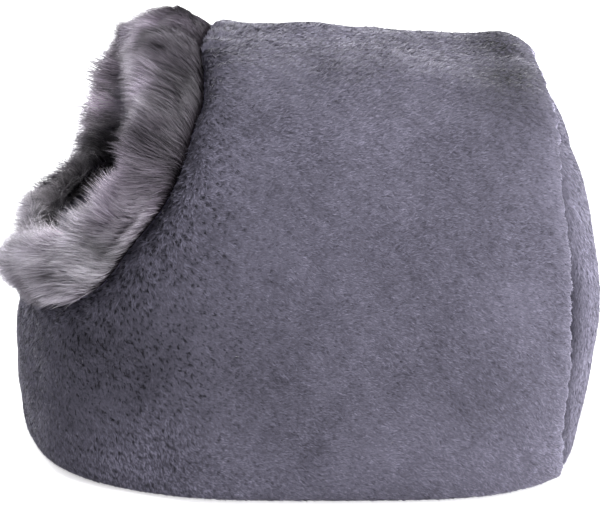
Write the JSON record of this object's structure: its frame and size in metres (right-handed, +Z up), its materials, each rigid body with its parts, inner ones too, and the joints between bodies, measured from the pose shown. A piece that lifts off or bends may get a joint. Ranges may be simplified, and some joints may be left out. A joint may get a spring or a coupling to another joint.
{
  "type": "plush cat cave",
  "caption": "Padded plush cat cave with a flat base, a crowned rear panel and a wide slanted mouth edged with a long-fur collar, for a pet to crawl into.",
  "frame": {"origin": "on the floor under the middle of the whole object's box, at the underside of the base", "axes": "+Z up, the mouth faces -Y and upward, the sewn-in rear panel faces +Y, and +X and -X are the two like sides; the picture shows the +X side"},
  "size_m": [0.3778, 0.4646, 0.3181],
  "materials": {
    "hood_plush": "short-pile grey plush, matt with a soft sheen at grazing angles",
    "rear_plush": "short-pile grey plush, matt with a soft sheen at grazing angles",
    "base_plush": "short-pile grey plush, flattened where it stands",
    "collar_fur": "long-pile faux fur, brown-grey at the roots and silver-grey at the tips"
  },
  "bodies": {
    "root": {"hood_panel": "hood_plush", "rear_panel": "rear_plush", "base_panel": "base_plush", "fur_collar": "collar_fur"}
  },
  "joints": []
}
